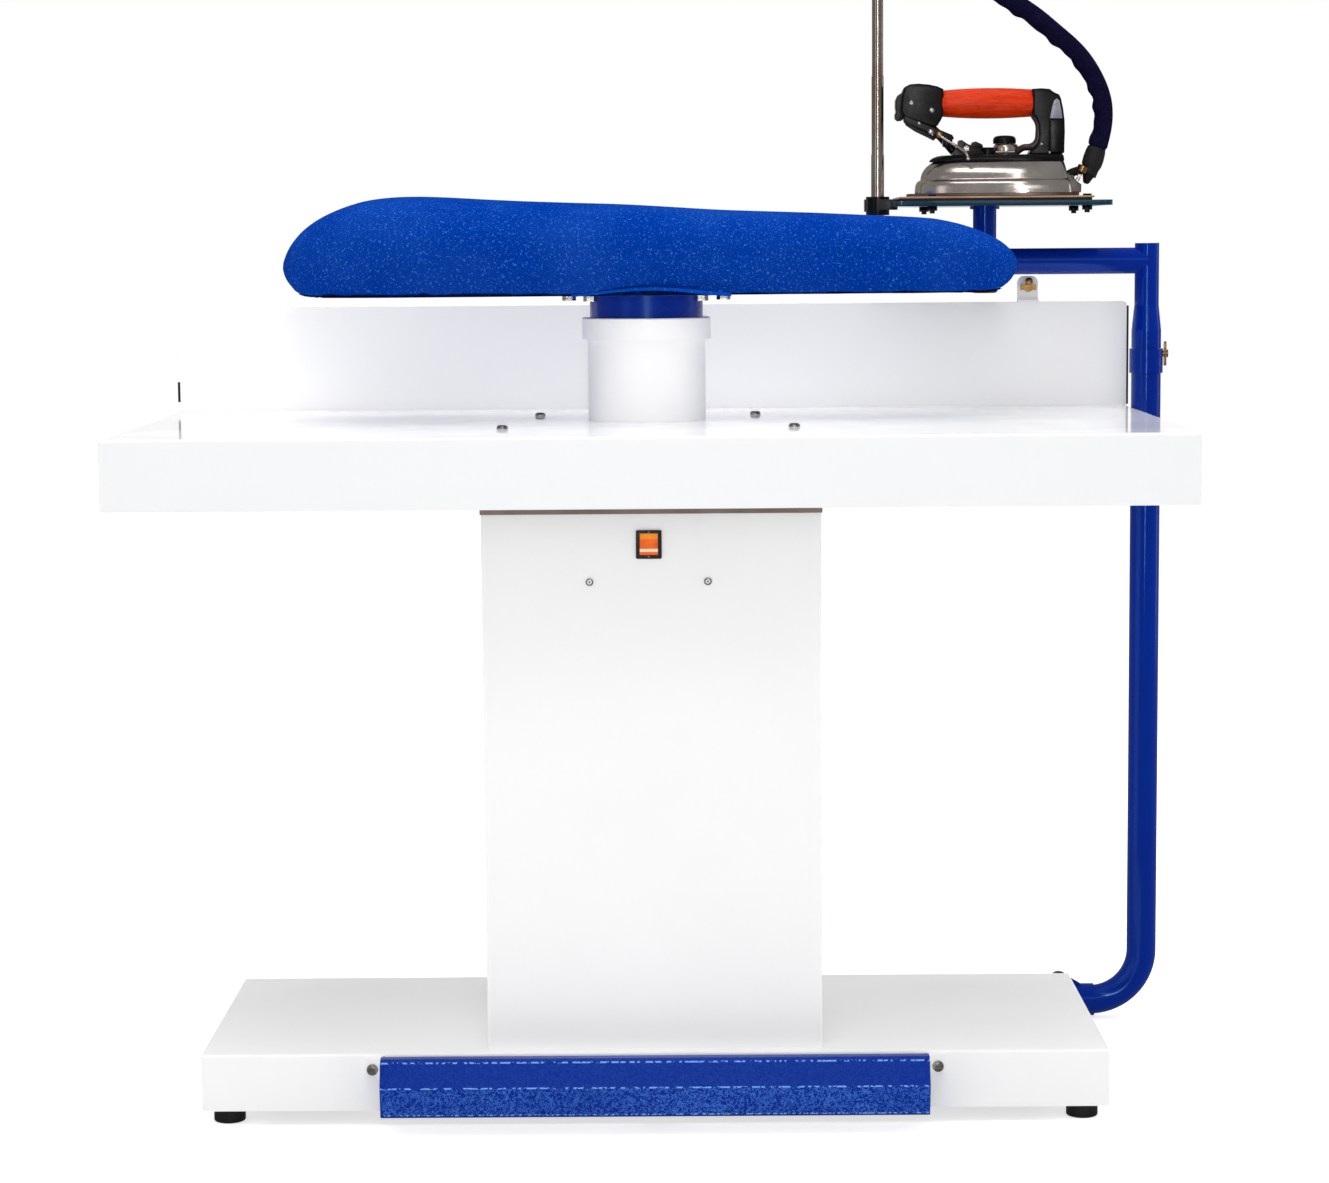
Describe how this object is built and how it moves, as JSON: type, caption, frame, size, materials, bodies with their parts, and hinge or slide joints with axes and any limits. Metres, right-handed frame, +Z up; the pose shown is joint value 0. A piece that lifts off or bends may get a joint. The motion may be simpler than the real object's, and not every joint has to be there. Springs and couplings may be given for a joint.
{
  "type": "vacuum ironing table",
  "caption": "Vacuum ironing table: a padded swivel form on a suction duct over a tray and column, with pedal, swing-arm rest, steam iron and hose.",
  "frame": {"origin": "bottom centre of the whole table, on the floor", "axes": "+X to the right seen from the front, +Y from the pedal side to the splash panel, +Z up"},
  "size_m": [1.148, 0.62, 1.2375],
  "materials": {
    "white_gloss": "gloss",
    "blue_gloss": "gloss",
    "blue_wrinkle": "wrinkle",
    "brown_gasket": "satin",
    "black_rubber": "matt",
    "black_plastic": "satin",
    "chrome_plate": "polished",
    "zinc_steel": "satin",
    "galvanised": "satin",
    "raw_brass": "satin",
    "orange_lens": "gloss",
    "blue_cloth": "woven",
    "white_foam": "matt",
    "navy_sleeve": "woven",
    "rest_glass": "polished",
    "tan_sheet": "satin",
    "handle_wood": "varnished",
    "cast_grey": "painted",
    "cast_aluminium": "as cast"
  },
  "bodies": {
    "frame": {"base_box": "white_gloss", "base_feet": "black_rubber", "column_shell": "white_gloss", "column_rear_cover": "white_gloss", "pan_head_screws": "zinc_steel", "dome_bolts": "zinc_steel", "top_gasket": "brown_gasket", "tray_support_frame": "white_gloss", "tray_pan": "white_gloss", "splash_panel": "white_gloss", "panel_edge_trim": "black_rubber", "panel_bracket": "white_gloss", "bracket_wing_nut": "raw_brass", "duct_pipe": "white_gloss", "duct_collar": "white_gloss", "fan_housing": "galvanised", "fan_shelf": "galvanised", "fan_motor": "cast_grey", "switch_bezel": "black_plastic", "pedal_brackets": "white_gloss", "pedal_spring": "zinc_steel", "pedal_microswitch": "black_plastic", "lower_post": "blue_gloss", "post_elbow": "blue_gloss", "post_foot_bracket": "blue_gloss", "bracket_knob": "black_plastic"},
    "form": {"form_hub": "blue_gloss", "form_pan": "blue_gloss", "form_plate": "galvanised", "form_pad": "white_foam", "form_cover": "blue_cloth", "hub_bolts": "chrome_plate"},
    "pedal": {"foot_pedal": "blue_wrinkle"},
    "rocker": {"switch_rocker": "orange_lens"},
    "fan_rotor": {"fan_impeller": "cast_aluminium"},
    "bush": {"swivel_bush": "black_plastic"},
    "arm": {"arm_tube": "blue_gloss", "rest_pipe": "blue_gloss", "rest_pipe_cap": "black_plastic", "rest_glass": "rest_glass", "rest_mat": "black_rubber", "rest_sheet": "tan_sheet", "rest_bolts": "zinc_steel", "pole_clamp": "black_plastic", "pole_lower": "chrome_plate", "hose_coupling": "raw_brass", "lower_hose": "navy_sleeve", "upper_hose": "black_rubber"},
    "wing_screw": {"collar_wing_screw": "raw_brass"},
    "pole_mid": {"pole_middle": "chrome_plate"},
    "pole_end": {"pole_top": "chrome_plate", "hose_hanger": "black_plastic"},
    "iron": {"iron_sole": "cast_aluminium", "iron_skirt": "chrome_plate", "iron_top_cover": "black_plastic", "iron_handle_mounts": "black_plastic", "iron_handle": "handle_wood", "iron_steam_fittings": "raw_brass"},
    "trigger": {"iron_trigger": "black_plastic"},
    "knob": {"thermostat_knob": "black_plastic"}
  },
  "joints": [
    {"name": "form_swivel", "type": "hinge", "parent": "frame", "child": "form", "pos_m": [-0.026, 0.01, 0.856], "axis": [0, 0, 1], "range_deg": [-90, 15]},
    {"name": "pedal_press", "type": "hinge", "parent": "frame", "child": "pedal", "pos_m": [-0.021, -0.249, 0.062], "axis": [1, 0, 0], "range_deg": [0, 10], "stiffness_Nm_per_rad": 25, "springref_deg": -6.88, "deforming": ["pedal_spring"]},
    {"name": "rocker_tilt", "type": "hinge", "parent": "frame", "child": "rocker", "pos_m": [-0.0235, -0.216, 0.6045], "axis": [1, 0, 0], "range_deg": [0, 14]},
    {"name": "fan_spin", "type": "hinge", "parent": "frame", "child": "fan_rotor", "pos_m": [-0.026, -0.055, 0.43], "axis": [0, 0, 1], "continuous": true},
    {"name": "arm_swing", "type": "hinge", "parent": "frame", "child": "bush", "pos_m": [0.549, 0.22, 0.732], "axis": [0, 0, 1], "range_deg": [-90, 0]},
    {"name": "arm_lift", "type": "slide", "parent": "bush", "child": "arm", "axis": [0, 0, 1], "range_m": [0, 0.06]},
    {"name": "collar_screw_turn", "type": "hinge", "parent": "frame", "child": "wing_screw", "pos_m": [0.569, 0.22, 0.781], "axis": [1, 0, 0], "range_deg": [0, 180]},
    {"name": "pole_end_slide", "type": "slide", "parent": "arm", "child": "pole_end", "axis": [0, 0, 1], "range_m": [-0.08, 0], "deforming": ["upper_hose"]},
    {"name": "pole_mid_slide", "type": "slide", "parent": "arm", "child": "pole_mid", "axis": [0, 0, 1], "range_m": [-0.04, 0]},
    {"name": "iron_lift", "type": "slide", "parent": "arm", "child": "iron", "axis": [0, 0, 1], "range_m": [0, 0.05], "deforming": ["lower_hose"]},
    {"name": "trigger_press", "type": "hinge", "parent": "iron", "child": "trigger", "pos_m": [0.2685, 0.22, 1.083], "axis": [0, 1, 0], "range_deg": [-5, 0], "stiffness_Nm_per_rad": 0.5, "springref_deg": 2.86},
    {"name": "thermostat_turn", "type": "hinge", "parent": "iron", "child": "knob", "pos_m": [0.3845, 0.22, 1.018], "axis": [0, 0, 1], "range_deg": [0, 270]}
  ],
  "couplings": [
    {"joint": "pole_mid_slide", "follows": "pole_end_slide", "ratio": 0.5}
  ]
}
